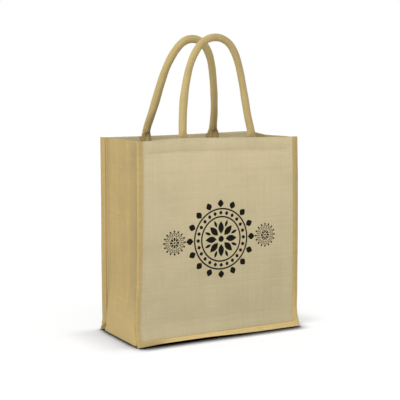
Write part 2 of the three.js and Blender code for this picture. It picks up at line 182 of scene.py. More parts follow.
# Thickness of each leg of the handles by height above the floor
THICKNESS = {
    ("front", "left"): [
        *((395, 14.6), (420, 15), (440, 15.7), (460, 15.4)),
        *((480, 14.6), (500, 13.4), (570, 14.2)),
    ],
    ("front", "right"): [
        *((395, 14.4), (420, 14.1), (440, 14.8), (460, 14.3)),
        *((480, 13.6), (500, 13.6), (570, 14.2)),
    ],
    ("back", "left"): [
        *((388, 13.9), (395, 14.6), (412, 15.3), (440, 16.2)),
        *((460, 16.6), (480, 15.8), (500, 15), (570, 15.6)),
    ],
    ("back", "right"): [
        *((395, 15.6), (420, 14.4), (440, 14.2), (460, 14.4)),
        *((480, 14.5), (500, 14.2), (570, 15.6)),
    ],
}
STEP = 2.6  # spacing of the cloth's points


# The camera's place in metres, its turn from +y towards +x, its dip and its roll
CAMERA_PLACE = (-1.056, -1.861, 0.5125)
CAMERA_TURNS = (29.61, 6.86, -0.2)
CAMERA_LENS = 98.96


# The camera stands where the photograph was taken from: its axes are worked out from the three turns
def place_camera():
    yaw, pitch, roll = (math.radians(turn) for turn in CAMERA_TURNS)
    ahead = np.array([math.sin(yaw) * math.cos(pitch), math.cos(yaw) * math.cos(pitch), -math.sin(pitch)])
    level = np.array([math.cos(yaw), -math.sin(yaw), 0.0])
    up = np.cross(level, ahead)
    right = level * math.cos(roll) + up * math.sin(roll)
    top = up * math.cos(roll) - level * math.sin(roll)
    data = bpy.data.cameras.new("photo_camera")
    data.sensor_fit = "HORIZONTAL"
    data.sensor_width = 36
    data.lens = CAMERA_LENS
    data.clip_end = 50
    camera = bpy.data.objects.new("photo_camera", data)
    bpy.context.scene.collection.objects.link(camera)
    place = np.eye(4)
    place[:3, 0], place[:3, 1], place[:3, 2] = right, top, -ahead
    place[:3, 3] = CAMERA_PLACE
    camera.matrix_world = Matrix(place.tolist())
    bpy.context.scene.camera = camera


place_camera()
bpy.context.scene.view_settings.view_transform = "Standard"


# Smooth step from 0 to 1: three squares less two cubes
def ease(share):
    share = np.clip(share, 0, 1)
    return share * share * (3 - 2 * share)


# The point at a share of the way from the first value to the second
def lerp(first, second, share):
    return first + (second - first) * share


# Values averaged with their neighbours by a bell curve of the given spread, out to reach on each side
def blurred(values, spread, reach):
    weights = np.exp(-0.5 * (np.arange(-reach, reach + 1) / spread) ** 2)
    return np.convolve(np.pad(values, reach, mode="edge"), weights / weights.sum(), mode="valid")


# A table over x or z, read at every millimetre and rounded where its rows meet
def softened(rows, spread):
    xs = np.arange(-240.0, 421.0)
    return xs, blurred(np.interp(xs, *np.array(rows, float).T), spread, int(3 * spread))


RIM_CURVES = {panel: softened(rows, 10) for panel, rows in RIMS.items()}
ARCH_CURVES = {panel: softened(rows, 8) for panel, rows in ARCHES.items()}
EDGE_CURVES = {edge: softened(rows, 4) for edge, rows in EDGE_ROWS.items()}


# Height of a panel's rim at x
def rim_height(panel, x):
    return np.interp(x, *RIM_CURVES[panel])


# Distance of a side seam's tip from the middle of the bag at height z
def edge_reach(panel, end, z):
    return np.interp(z, *EDGE_CURVES[panel, end])


# Soft unevenness that all the layers at a place share: three sine waves that fade out to the edges
def sway(panel, x, z):
    turn = 0.0 if panel == "front" else 2.1
    waves = 0.5 * np.sin(x / 47 + z / 83 + turn) + 0.35 * np.sin(x / 29 - z / 61 + 1.7 * turn + 1)
    waves = waves + 0.2 * np.sin(x / 17 + z / 23 + turn) * np.sin(z / 37 + 2)
    inner = ease((HALF_SPAN - np.abs(x)) / 60) * ease((z - 20) / 60) * ease((HEIGHT + 8 - z) / 60)
    return inner * waves


# y of a panel's outer face, or of a layer behind it: half the depth, the flare at the base, the swell
# (a parabola across times an arch up), the sway and the hem's lean
def layer_y(panel, x, z, behind):
    across = 1 - (x / HALF_SPAN) ** 2
    up = np.clip(z / HEIGHT, 0, 1)
    swell = SWELL * np.sin(np.pi * up**0.8) - SWELL_LOSS * ease((up - 0.6) / 0.4)
    flare = FLARE * (1 - ease((z - FLARE_TIP) / FLARE_SPANS[panel]))
    out = DEPTH / 2 + flare + across * swell + sway(panel, x, z) + hem_lean(panel, x, z) - behind
    return -out if panel == "front" else out


# The lean of all the hem's layers: a quarter sine wave up from the stitching, level by the seams
def hem_lean(panel, x, z):
    above = z - rim_height(panel, x) + HEM_LINE
    return HEM_LEAN[panel] * clear_of_seams(x) * np.sin(0.5 * np.pi * np.clip(above / HEM_RISE, 0, 1))


# 1 over most of a panel, eased down to 0 beside its side seams
def clear_of_seams(x):
    return ease((CALM_EDGE - np.abs(x)) / CALM_WIDTH)


# x, y and z of points on a panel. The back left seam is folded back round a bend: out is how far a
# point lies past the bend's start, the bend is an arc, and what lies past it goes on straight
def place(panel, x, z, behind):
    y = layer_y(panel, x, z, behind)
    if panel == "back":
        out = np.maximum(0, SEAM + 1.5 - edge_reach("back", "left", z) - x)
        turn = np.maximum(1e-3, FOLD_TURN * ease((z - 8) / 13))
        bent = np.minimum(out, FOLD_BEND)
        angle, radius = turn * bent / FOLD_BEND, FOLD_BEND / turn
        sin, cos = np.sin(angle), np.cos(angle)
        off = FLANGE_BACK / 2 - behind
        y = y + radius * (1 - cos) + (out - bent) * sin + off * (cos - 1)
        x = x + out - radius * sin - (out - bent) * cos + off * sin
    return np.stack([x, y, z + seam_lift(panel, x, z)], -1)


# How far a sewn edge arches up off the floor, fading over the width of the seam
def seam_lift(panel, x, z):
    return np.interp(x, *ARCH_CURVES[panel]) * np.maximum(0, 1 - z / SEAM)


# Distance run along each line of points, in metres: the sum of the steps so far
def travelled(points, axis):
    steps = np.linalg.norm(np.diff(points, axis=axis), axis=2)
    run = np.cumsum(steps, axis=axis) * MM
    return np.insert(run, 0, 0.0, axis=axis)


# Quads of a closed sheet made of two grids that lie face to face, joined by strips along the edges
def sheet_quads(rows, columns):
    first = np.arange(rows * columns).reshape(rows, columns)
    second = first + rows * columns
    a, b, c, d = first[:-1, :-1], first[1:, :-1], first[1:, 1:], first[:-1, 1:]
    faces = [np.stack([a, b, c, d], -1), np.stack([a, d, c, b], -1) + rows * columns]
    left, left_in = first[:, 0], second[:, 0]
    right, right_in = first[:, -1], second[:, -1]
    low, low_in = first[0], second[0]
    high, high_in = first[-1], second[-1]
    faces.append(np.stack([left[:-1], left_in[:-1], left_in[1:], left[1:]], -1))
    faces.append(np.stack([right[:-1], right[1:], right_in[1:], right_in[:-1]], -1))
    faces.append(np.stack([low[:-1], low[1:], low_in[1:], low_in[:-1]], -1))
    faces.append(np.stack([high[:-1], high_in[:-1], high_in[1:], high[1:]], -1))
    return np.concatenate([face.reshape(-1, 4) for face in faces])


# One closed surface as points, quads and a cloth coordinate for each point
def closed_sheet(outside, inside, cloth):
    rows, columns = outside.shape[:2]
    points = np.concatenate([outside.reshape(-1, 3), inside.reshape(-1, 3)])
    coordinates = np.concatenate([cloth.reshape(-1, 2)] * 2)
    return facing_out(points, sheet_quads(rows, columns), coordinates)


# Quads of a tube of rings: walls between neighbouring rings, and each end closed by a ladder of quads
def tube_quads(count, sides):
    index = np.arange(count * sides).reshape(count, sides)
    turned = np.roll(index, -1, axis=1)
    walls = np.stack([index[:-1], turned[:-1], turned[1:], index[1:]], -1).reshape(-1, 4)
    i = np.arange(sides // 2 - 1)
    cap = np.stack([i, i + 1, sides - 2 - i, sides - 1 - i], -1)
    return np.concatenate([walls, cap[:, ::-1], cap + index[-1, 0]])


# The same surface with its quads turned round where the volume they enclose comes out negative
def facing_out(points, quads, coordinates):
    a, b, c, d = (points[quads[:, i]] for i in range(4))
    volume = np.sum(a * np.cross(b, c)) + np.sum(a * np.cross(c, d))
    return points, quads if volume > 0 else quads[:, ::-1], coordinates


# One mesh object of closed surfaces, in metres, with its cloth coordinates as a UV map
def add_piece(name, surfaces, material):
    starts = np.cumsum([0] + [len(points) for points, _, _ in surfaces[:-1]])
    points = np.concatenate([points for points, _, _ in surfaces]) * MM
    quads = np.concatenate([quads + start for (_, quads, _), start in zip(surfaces, starts)])
    coordinates = np.concatenate([coordinates for _, _, coordinates in surfaces])
    mesh = bpy.data.meshes.new(name)
    mesh.vertices.add(len(points))
    mesh.vertices.foreach_set("co", points.astype(np.float32).ravel())
    corners = quads.astype(np.int32).ravel()
    mesh.loops.add(len(corners))
    mesh.loops.foreach_set("vertex_index", corners)
    mesh.polygons.add(len(quads))
    mesh.polygons.foreach_set("loop_start", np.arange(0, len(corners), 4, dtype=np.int32))
    mesh.update(calc_edges=True)
    mesh.polygons.foreach_set("use_smooth", np.ones(len(quads), bool))
    layer = mesh.uv_layers.new(name="cloth")
    layer.data.foreach_set("uv", coordinates[corners].astype(np.float32).ravel())
    mesh.materials.append(material)
    mesh.update()
    piece = bpy.data.objects.new(name, mesh)
    bpy.context.scene.collection.objects.link(piece)
    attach(piece, "root")
    return piece


# A big panel: up from its bottom edge, over the rim in half a circle and down inside as a hem. Each row
# is a height and a depth for both faces, and x runs across it between the two side seams
def panel_surface(panel):
    shares = np.linspace(-1, 1, int(2 * HALF_SPAN / STEP))
    rim = rim_height(panel, shares * HALF_SPAN)
    radius = FLANGE_BACK / 2
    rows = []
    climb = np.linspace(0, 1, int((HEIGHT - EDGE_INSET) / STEP))
    for share in climb:
        level = lerp(EDGE_INSET, rim - radius, share)
        rows.append((level, level, 0.0, CLOTH, 0.0))
    for angle in np.linspace(0, np.pi, 11)[1:]:
        bend_out, bend_in = radius * np.sin(angle), GAP / 2 * np.sin(angle)
        behind_out = radius - radius * np.cos(angle)
        behind_in = radius - GAP / 2 * np.cos(angle)
        top = rim - radius
        rows.append((top + bend_out, top + bend_in, behind_out, behind_in, angle / np.pi))
    for drop in np.arange(radius + STEP, HEM + 0.1, (HEM - radius) / 10):
        rows.append((rim - drop, rim - drop, FLANGE_BACK, FLANGE_FRONT, 1.0))
    skins = [[], []]
    for level_out, level_in, behind_out, behind_in, narrowed in rows:
        for skin, z, behind in ((0, level_out, behind_out), (1, level_in, behind_in)):
            inset = lerp(EDGE_INSET, HEM_INSET, narrowed)
            left = inset - edge_reach(panel, "left", z)
            right = edge_reach(panel, "right", z) - inset
            x = lerp(left, right, (shares + 1) / 2)
            pulled = hem_pull(panel, x, z) if narrowed == 0.0 else 0.0
            skins[skin].append(place(panel, x, z + 0 * x, behind + pulled))
    outside, inside = (np.array(skin) for skin in skins)
    run = travelled(outside, 0)
    cloth = np.stack([outside[..., 0] * MM, run + outside[0, :, 2] * MM], -1)
    return closed_sheet(outside, inside, cloth)


# How far the hem's stitching draws the outer cloth in: a bell curve, narrow above the line and wide
# below it, with puckers between the threads
def hem_pull(panel, x, z):
    below = rim_height(panel, x) - HEM_LINE - z
    groove = np.exp(-((below / np.where(below > 0, GROOVE_BELOW, GROOVE_ABOVE)) ** 2))
    puckers = 0.5 + 0.5 * np.sin(x / 1.9 + 2 * np.sin(x / 13))
    return clear_of_seams(x) * (groove * (GROOVE_DEPTH + PUCKER * puckers) + SLACK)


# Stations along a seam: down the left edge, round the corner, along the base and up the right edge
def seam_stations():
    side = [("side", share, None) for share in np.linspace(1, 0, int((HEIGHT - FLARE_HEIGHT) / STEP))]
    side += [("level", None, level) for level in np.linspace(FLARE_HEIGHT, CORNER, 4)[1:-1]]
    corner = [("corner", turn, None) for turn in np.linspace(0, 1, 18)]
    base = [("base", share, None) for share in np.linspace(0, 1, int(330 / STEP))[1:-1]]
    down = [(run, "left", at, level) for run, at, level in side + corner]
    up = [(run, "right", at, level) for run, at, level in side + corner][::-1]
    return down + [(run, "left", at, level) for run, at, level in base] + up


STATIONS = seam_stations()


# The point at share turn of a path that rounds a bottom corner, as distance from the tip and height:
# straight down, a quarter circle, and straight along the base
def corner_point(turn, side_in, base_in, radius):
    down = CORNER - base_in - radius
    arc = math.pi / 2 * radius
    gone = turn * (down + arc + CORNER - side_in - radius)
    angle = np.clip((gone - down) / np.maximum(radius, 1e-6), 0, math.pi / 2)
    past = np.maximum(0, gone - down - arc)
    away = side_in + radius - radius * np.cos(angle) + past
    return away, np.where(gone <= down, CORNER - gone, base_in + radius - radius * np.sin(angle))


# x and z of one station for arrays of insets. reach(end, z) gives the edge's tip and rim(end) its top
def station_point(station, side_in, base_in, radius, reach, rim):
    run, end, at, level = station
    if run == "base":
        left, right = CORNER - reach("left", 0.0), reach("right", 0.0) - CORNER
        return lerp(left, right, at) + 0 * base_in, base_in
    sign = -1 if end == "left" else 1
    if run == "corner":
        away, z = corner_point(at, side_in, base_in, radius)
        return sign * (reach(end, z) - away), z
    z = level if run == "level" else lerp(FLARE_HEIGHT, rim(end), at)
    z = z + 0 * side_in
    return sign * (reach(end, z) - side_in), z


# Radius of a line's turn at a bottom corner: a third of its inset, or what room there is
def seam_radius(inset):
    return np.minimum(inset / 3, CORNER - inset)


# How much narrower the tape is at a station: it eases in down the front left seam, out at the corner
def tape_trim(panel, station):
    run, end, at, _ = station
    if panel == "back" or end == "right" or run == "base":
        return 0.0
    if run == "corner":
        return TAPE_TRIM * (1 - at)
    return TAPE_TRIM * (1 - ease(at * 1.2 - 0.2)) if run == "side" else TAPE_TRIM


# Points of a bound seam, one line for each inset, behind the panel's outer face by the given depths.
# Where it is trimmed, the outer half of the width moves towards the tips
def seam_lines(panel, insets, behinds, top_drop=0.0, trimmed=False):
    insets, behinds = np.asarray(insets, float), np.asarray(behinds, float)

    # This panel's edge at one end and height z
    def reach(end, z):
        return edge_reach(panel, end, z)

    # Where the line ends at the top: the rim's height less the drop
    def rim(end):
        return rim_height(panel, -HALF_SPAN if end == "left" else HALF_SPAN) - top_drop

    lines = []
    for station in STATIONS:
        trim = tape_trim(panel, station) if trimmed else 0.0
        held = insets - trim * np.clip((insets - 5) / 7, 0, 1)
        x, z = station_point(station, held, held, seam_radius(held), reach, rim)
        lines.append(place(panel, x, z, behinds))
    return np.array(lines).transpose(1, 0, 2)


# The tape folded over a seam: a profile of insets and depths carried along the stations, flat on both
# faces, round over the tips as a flattened circle, its edges turned down
def binding_surface(panel):
    middle, half = FLANGE_BACK / 2, FLANGE_BACK / 2 + GAP + TAPE
    angles = np.linspace(-np.pi / 2, np.pi / 2, 15)
    front = [(SEAM, 1.25), (SEAM - 0.15, 0.9), (SEAM - 0.4, 0.55), (SEAM - 0.9, 0.3), (SEAM - 1.7, 0.3)]
    front += [(SEAM - 2.4, 0.4), (SEAM - 3, 0.22), (SEAM - 4.2, 0.05), (6.5, 0), (5, 0), (3.9, 0)]
    outer = [(inset, middle - half + drop) for inset, drop in front]
    inner = [(inset, -GAP * min(1, 0.15 + (SEAM - inset) / 1.5)) for inset, _ in front]
    for angle in angles:
        lean = np.sign(np.sin(angle)) * abs(np.sin(angle)) ** 0.78
        tuck = 1 - abs(np.cos(angle)) ** 0.78
        outer.append((TAPE_NOSE * tuck, middle + half * lean))
        inner.append((TAPE + (TAPE_NOSE - TAPE) * tuck, middle + (half - TAPE) * lean))
    back = [(inset - 0.5, drop) for inset, drop in front[::-1]]
    outer += [(inset, middle + half - drop) for inset, drop in back]
    inner += [(inset, FLANGE_BACK + GAP * min(1, 0.15 + (SEAM - 0.5 - inset) / 1.5)) for inset, _ in back]
    skins = [seam_lines(panel, *np.array(skin).T, trimmed=True) for skin in (outer, inner)]
    across, along = travelled(skins[0], 0), travelled(skins[0], 1)[len(outer) // 2]
    cloth = np.stack([np.broadcast_to(along, across.shape), across], -1)
    return closed_sheet(skins[0], skins[1], cloth)


# The smaller of two values, rounded where they cross: half of their sum less the root of their squared
# difference and the squared width
def soft_min(first, second, width):
    gap = first - second
    return (first + second - np.sqrt(gap * gap + width * width)) / 2


# How far the left side stands out, by distance from its front seam: two channels with a low ridge
# between them, and a swell by the back seam
RIDGE_ROWS = [
    *((0, 0), (24, -0.2), (30.6, -0.4), (34.5, -0.9), (38.3, -1.4), (42.3, -1.8)),
    *((46.2, -2.15), (50.1, -2.4), (54, -2.5), (58, -2.5), (62, -2.3), (66, -1.9)),
    *((69.5, -1.4), (73, -1.15), (78, -1.5), (82, -1.75), (86, -1.9), (90, -2)),
    *((94, -2.05), (98, -2), (102.5, -1.85), (107, -1.7), (111, -1.45), (115, -1.1)),
    *((119, -0.7), (123, -0.3), (127.5, 0.1), (132, 0.5), (136, 0.75), (140, 0.9)),
    *((144.5, 0.8), (149, 0.5), (154, 0)),
]


# That table as a curve over the share of the way from the front seam to the back seam
def ridge_curve():
    shares = np.linspace(0, 1, 401)
    runs, rises = np.array(RIDGE_ROWS, float).T
    return shares, blurred(np.interp(shares * runs[-1], runs, rises), 3.0, 12)


RIDGE_CURVE = ridge_curve()


# How far the gusset's outer face lies in from the seam tips, at distance off from the nearer seam: the
# seam's width less how far the side stands out. On the left that is the relief and the swell at the
# base, on the right a plain rise and the swell less a fold, shaped as a hipped roof with soft edges
def gusset_inset(end, shares, off, z):
    above = np.maximum(0, z - CORNER)
    swell = FOOT_SWELL * (1 - ease(above / FOOT_RISE))
    away = ease((off - 2.5) / 12)
    if end == "left":
        high = ease((above - 5) / 80)
        relief = np.interp(shares, *RIDGE_CURVE) * high + SIDE_RISE * (1 - high)
        return SEAM - away * swell - ease(off / 6) * relief
    rim, low = RIGHT_FOLDS
    fold = lerp(low, rim, ease((z / HEIGHT - 0.4) / 0.6))
    roof = soft_min(off / HALF_WIDTH, above / (80 - CORNER), 0.05)
    roof = np.maximum(0, soft_min(roof, 1.0, 0.05))
    return SEAM - away * (SIDE_RISE + swell - fold * roof)


# The gusset's points across the bag between its seams, y in even shares from the front seam to the back
# seam. depths is how far inside the outer face they lie, drops how far below the rim they end
def gusset_lines(shares, depths, drops, hem_end=None):
    off = HALF_WIDTH * 2 * np.minimum(shares, 1 - shares)
    stations = STATIONS if hem_end is None else [("side", hem_end, 1.0, None)]
    sag = SAG * ease(off / HALF_WIDTH)
    base_in = SEAM * (1 - ease((off - 2.5) / 12))
    radius = lerp(2.0, seam_radius(SEAM), base_in / SEAM) - depths
    out = []

    # The two panels' edges, blended by the share of the way from the front to the back
    def reach(end, z):
        return lerp(edge_reach("front", end, z), edge_reach("back", end, z), shares)

    # The two rims blended in the same way, less the sag and the drops
    def rim(end):
        x = -HALF_SPAN if end == "left" else HALF_SPAN
        return lerp(rim_height("front", x), rim_height("back", x), shares) - sag - drops

    for station in stations:
        run, end, at, level = station
        z = lerp(FLARE_HEIGHT, rim(end), at) if run == "side" else (level or 0.0) + 0 * off
        inset = gusset_inset(end, shares, off, z) + dimples(end, shares, z)
        x, z = station_point(station, inset + depths, base_in + depths, radius, reach, rim)
        y = lerp(layer_y("front", x, z, FLANGE_BACK), layer_y("back", x, z, FLANGE_BACK), shares)
        out.append(np.stack([x, y, z], -1))
    return np.array(out).transpose(1, 0, 2)


# Shallow dents in the sides, none near the seams, the base or the rim: two sine waves in a window
def dimples(end, shares, z):
    window = np.sin(np.pi * shares) ** 2 * ease((z - 30) / 60) * ease((HEIGHT - 6 - z) / 60)
    turn = 0.4 if end == "left" else 2.3
    waves = np.sin(z / 31 + 5 * shares + turn) + 0.6 * np.sin(z / 17 - 9 * shares + 2 * turn)
    return DIMPLES[end] * window * waves


# The gusset strip: its front flange, its wall and its back flange as one profile along the stations,
# and a hem at each end
def gusset_surfaces():
    shares = np.concatenate([np.linspace(2.5, 16, 7), np.arange(18, HALF_WIDTH, 2.0)]) / HALF_WIDTH / 2
    shares = np.concatenate([shares, [0.5], 1 - shares[::-1]])
    insets = np.array([EDGE_INSET, 4, 7, 10])

    # One face of the strip: the front flange in to its root, across the wall, and out along the back one
    def skin(root, behind, depth):
        edge = np.append(insets, root)
        front = seam_lines("front", edge, behind + 0 * edge, 2.0)
        back = seam_lines("back", edge, behind + 0 * edge, 2.0)
        wall = gusset_lines(shares, depth + 0 * shares, 2.0 + 0 * shares)
        return np.concatenate([front, wall, back[::-1]])

    outside, inside = skin(SEAM, FLANGE_BACK, 0.0), skin(SEAM + CLOTH, FLANGE_FRONT, CLOTH)
    across = travelled(outside, 0)
    along = travelled(outside, 1)[len(outside) // 2]
    cloth = np.stack([across, np.broadcast_to(along, across.shape)], -1)
    return [closed_sheet(outside, inside, cloth), gusset_hem("left", 0.0), gusset_hem("right", along[-1])]


# The folded top of a side: up out of the strip, over in half a circle, and down inside it
def gusset_hem(end, run_end):
    edge = 3.3 / HALF_WIDTH / 2
    shares = np.concatenate([[edge], np.linspace(5, HALF_WIDTH, 32) / HALF_WIDTH / 2])
    shares = np.concatenate([shares, 1 - shares[:-1][::-1]])
    radius = FLANGE_BACK / 2
    rows = [(0.1, 5.0, CLOTH - 0.1, 5.0)]
    for angle in np.linspace(0, np.pi, 11):
        rows.append(
            (
                radius - radius * np.cos(angle),
                radius - radius * np.sin(angle),
                radius - GAP / 2 * np.cos(angle),
                radius - GAP / 2 * np.sin(angle),
            )
        )
    for drop in np.linspace(radius, HEM, 11)[1:]:
        rows.append((FLANGE_BACK, drop, FLANGE_FRONT, drop))
    outside, inside = [], []
    for depth_out, drop_out, depth_in, drop_in in rows:
        for skin, depth, drop in ((outside, depth_out, drop_out), (inside, depth_in, drop_in)):
            skin.append(gusset_lines(shares, depth + 0 * shares, drop + 0 * shares, end)[:, 0])
    outside, inside = np.array(outside), np.array(inside)
    across, down = travelled(outside, 1), travelled(outside, 0)
    sign = -1 if end == "left" else 1
    start = run_end - sign * 0.005
    return closed_sheet(outside, inside, np.stack([across + 0.014, start + sign * down], -1))


# Centripetal Catmull-Rom curve through points: a cubic between each two, its slopes from the neighbours
def smooth_route(points, steps=24):
    extended = np.vstack([2 * points[0] - points[1], points, 2 * points[-1] - points[-2]])
    gaps = np.linalg.norm(np.diff(extended, axis=0), axis=1) ** 0.5
    share = (np.arange(steps) / steps)[:, None]
    route = []
    for i in range(len(points) - 1):
        before, start, stop, after = extended[i : i + 4]
        d0, d1, d2 = gaps[i : i + 3]
        leave = ((start - before) / d0 - (stop - before) / (d0 + d1) + (stop - start) / d1) * d1
        arrive = ((stop - start) / d1 - (after - start) / (d1 + d2) + (after - stop) / d2) * d1
        square = 3 * (stop - start) - 2 * leave - arrive
        cube = 2 * (start - stop) + leave + arrive
        route.append(start + share * leave + share**2 * square + share**3 * cube)
    return np.vstack(route + [points[-1:]])


# Points at even distances along a route, read off its running length
def evenly(route, spacing):
    run = np.concatenate([[0], np.cumsum(np.linalg.norm(np.diff(route, axis=0), axis=1))])
    count = max(2, int(round(run[-1] / spacing)) + 1)
    at = np.linspace(0, run[-1], count)
    return np.stack([np.interp(at, run, route[:, i]) for i in range(3)], -1)


# Vectors over their own lengths
def unit(vectors):
    return vectors / np.linalg.norm(vectors, axis=-1, keepdims=True)


# The line of a handle, from one sewn end over the crown to the other: a curve through the arch's rows,
# mirrored, starting behind the panel's hem
def handle_route(panel):
    _, _, centre = PADS[panel]
    rises, halves, leans = np.array(ARCH_ROWS[panel], float).T
    inward = 1 if panel == "front" else -1
    seat = TAPE_BACK + END_ROWS[0][2] / 2
    wanted = np.array([row[0] for row in END_ROWS[:-1]] + list(rises[1:]), float)

    # Points up one side of the arch: x and the lean from its rows, heights from the rim's at the foot,
    # which eases over to the bag's own height on the way up
    def leg(sign):
        foot = centre + sign * halves[0]
        rim = lerp(rim_height(panel, foot), HEIGHT, ease(wanted / rises[-1]))
        y = layer_y(panel, foot, rim + np.minimum(wanted, 0), seat)
        x = centre + sign * np.interp(wanted, rises, halves)
        leaned = np.interp(wanted, rises, leans) + HEM_LEAN[panel] * ease(wanted / 30)
        return np.stack([x, y + inward * leaned, rim + wanted], -1)

    return evenly(smooth_route(np.vstack([leg(-1), leg(1)[:-1][::-1]])), ROUTE_STEP)


# A handle: a cord-filled cloth tube, a ring of width and thickness carried along its line. Its ends are
# pressed flat by a power of the sine and cosine, with gathers that fan into them, creases on the inner
# side of its bends, and a seam along it
def handle_surface(panel):
    sides = HANDLE_SIDES
    left_pad, right_pad, centre = PADS[panel]
    inward = 1 if panel == "front" else -1

    # Directions at each ring: along the handle, into the bag and across it
    route = handle_route(panel)
    along = unit(np.gradient(route, axis=0))
    deep = unit(np.array([0, inward, 0]) - along * (inward * along[:, 1:2]))
    wide = np.cross(along, deep)

    # Each ring's width and thickness: the rope's own, and below 18 mm the sewn end's by its height
    on_left = np.arange(len(route)) < len(route) / 2
    feet = np.where(on_left, centre - ARCH_ROWS[panel][0][1], centre + ARCH_ROWS[panel][0][1])
    rise = route[:, 2] - rim_height(panel, feet)
    rises, spreads, thicks = np.array(END_ROWS, float).T
    legs = [np.interp(route[:, 2], *np.array(THICKNESS[panel, end], float).T) for end in ("left", "right")]
    rope = np.where(on_left, *legs)
    rope = np.convolve(np.pad(rope, 12, mode="edge"), np.ones(25) / 25, mode="valid")
    width = lerp(rope, np.where(on_left, left_pad, right_pad), np.interp(rise, rises, spreads))
    thick = np.interp(rise, rises, thicks)
    rounding = np.where(rise > 7, lerp(1, rope / ROPE, ease((rise - 7) / 11)), 1)
    thick = np.where(rise > 18, rope, thick * rounding)

    # The outline: a circle, pressed towards a flat strip with round edges at the sewn end
    flatness = 1 - ease((rise + 2) / 12)
    fanned = 1 - ease((rise - 2) / 24)
    angle = 2 * np.pi * np.arange(sides) / sides
    power = lerp(1, 0.6, flatness)[:, None]
    cos, sin = np.cos(angle)[None], np.sin(angle)[None]
    across = width[:, None] / 2 * np.sign(cos) * np.abs(cos) ** power
    outward = thick[:, None] / 2 * np.sign(sin) * np.abs(sin) ** power

    # Ten gathers round the end, shallow where the panel covers them
    folds = np.abs(np.cos(5 * angle + 0.35 * np.sin(3 * angle)))[None] ** 0.7
    pleats = (2 * folds - 1.1) * fanned[:, None]
    gathers = PLEATS[panel] * pleats * np.where(sin > 0, 1, np.where(rise[:, None] > 2, 0.8, 0.15))

    # Creases where the handle bends, slow lumps, and the cloth's seam as a narrow ridge
    toward = np.gradient(along, axis=0)
    bend = np.linalg.norm(toward, axis=1)[:, None] / ROUTE_STEP
    inner_side = unit(toward + 1e-9 * wide)
    run = np.arange(len(route))[:, None] * ROUTE_STEP
    creases = np.sin(run / 1.35 + 2.5 * np.sin(run / 9) + 2 * np.sin(angle[None] + run / 31))
    facing = wide[:, None] * cos[..., None] + deep[:, None] * sin[..., None]
    inside = np.clip(np.einsum("ijk,ik->ij", facing, inner_side), 0, 1)
    crease_depth = CREASE_DEPTH * creases * inside * np.clip(bend * 60, 0, 1) * (1 - fanned[:, None])
    lumps = LUMP_DEPTH * np.sin(run / 7.3 + 2 * angle[None]) * (1 - fanned[:, None])
    ridge = np.exp(-(((angle[None] - np.pi / 2 - 0.25) / 0.09) ** 2))
    seam = SEAM_RIDGE * ridge * (1 - flatness[:, None])
    bulge = gathers + crease_depth + lumps + seam
    outline = unit(np.stack([across, outward], -1))
    across = across + bulge * outline[..., 0] * (1 - flatness[:, None])
    outward = outward + bulge * lerp(outline[..., 1], np.sign(sin), flatness[:, None])
    rings = route[:, None] + wide[:, None] * across[..., None] + deep[:, None] * outward[..., None]
    length = np.broadcast_to(run * MM, across.shape)
    girth = np.broadcast_to(ROPE / 2 * MM * angle[None], across.shape)
    coordinates = np.stack([girth, length], -1).reshape(-1, 2)
    return facing_out(rings.reshape(-1, 3), tube_quads(len(route), sides), coordinates)


# Short threads in a cloth along a line, one capsule each, whose ends dip into it by the fourth power.
# lifted is the same line moved away from the cloth
def stitches(line, lifted):
    base = evenly(line, THREAD_PITCH)
    top = evenly(lifted, THREAD_PITCH)
    count = min(len(base), len(top))
    base, top = base[:count], top[:count]
    middle = (base[:-1] + base[1:]) / 2
    along = unit(base[1:] - base[:-1])
    up = unit((top[:-1] + top[1:]) / 2 - middle)
    side = unit(np.cross(along, up))
    sides = 6
    turns = 2 * np.pi * np.arange(sides) / sides
    shares = np.array([-1, -0.82, -0.4, 0, 0.4, 0.82, 1])
    girths = np.array([0.25, 0.8, 1, 1.05, 1, 0.8, 0.25]) * THREAD_RADIUS
    heights = THREAD_RADIUS * (0.35 - 1.5 * shares**4)
    local = np.stack(
        [
            np.broadcast_to(shares[:, None] * THREAD_LENGTH / 2, (7, sides)),
            girths[:, None] * np.cos(turns),
            girths[:, None] * np.sin(turns) + heights[:, None],
        ],
        -1,
    ).reshape(-1, 3)
    points = (
        middle[:, None]
        + local[None, :, 0:1] * along[:, None]
        + local[None, :, 1:2] * side[:, None]
        + local[None, :, 2:3] * up[:, None]
    )
    starts = np.arange(len(middle)) * 7 * sides
    quads = (tube_quads(7, sides)[None] + starts[:, None, None]).reshape(-1, 4)
    run = np.arange(len(middle))[:, None] * THREAD_PITCH + local[None, :, 0]
    around = np.broadcast_to(local[None, :, 1], run.shape)
    cloth = np.stack([run, around], -1).reshape(-1, 2) * MM
    return facing_out(points.reshape(-1, 3), quads, cloth)


# A line of stitching on a panel through corners, each an x and a height from the rim, at a depth behind
# its outer face. out is 1 on the outside and -1 on the inside
def panel_stitches(panel, corners, behind, out):
    corners = np.array(corners, float)
    xs, zs = [], []
    for (x0, z0), (x1, z1) in zip(corners[:-1], corners[1:]):
        share = np.linspace(0, 1, max(2, int(math.hypot(x1 - x0, z1 - z0) / 2)))
        xs.append(lerp(x0, x1, share))
        zs.append(lerp(z0, z1, share))
    x, z = np.concatenate(xs), np.concatenate(zs)
    z = z + rim_height(panel, x)
    lines = [np.stack([x, layer_y(panel, x, z, depth), z], -1) for depth in (behind, behind - out)]
    return stitches(*lines)


# Shader nodes: each function adds one node, or a few, and gives back its output. A value may be a
# number, a colour or another node's output
def feed(tree, socket, value):
    if isinstance(value, bpy.types.NodeSocket):
        tree.links.new(value, socket)
    else:
        socket.default_value = value


def calc(tree, operation, *values):
    node = tree.nodes.new("ShaderNodeMath")
    node.operation = operation
    for socket, value in zip(node.inputs, values):
        feed(tree, socket, value)
    return node.outputs[0]


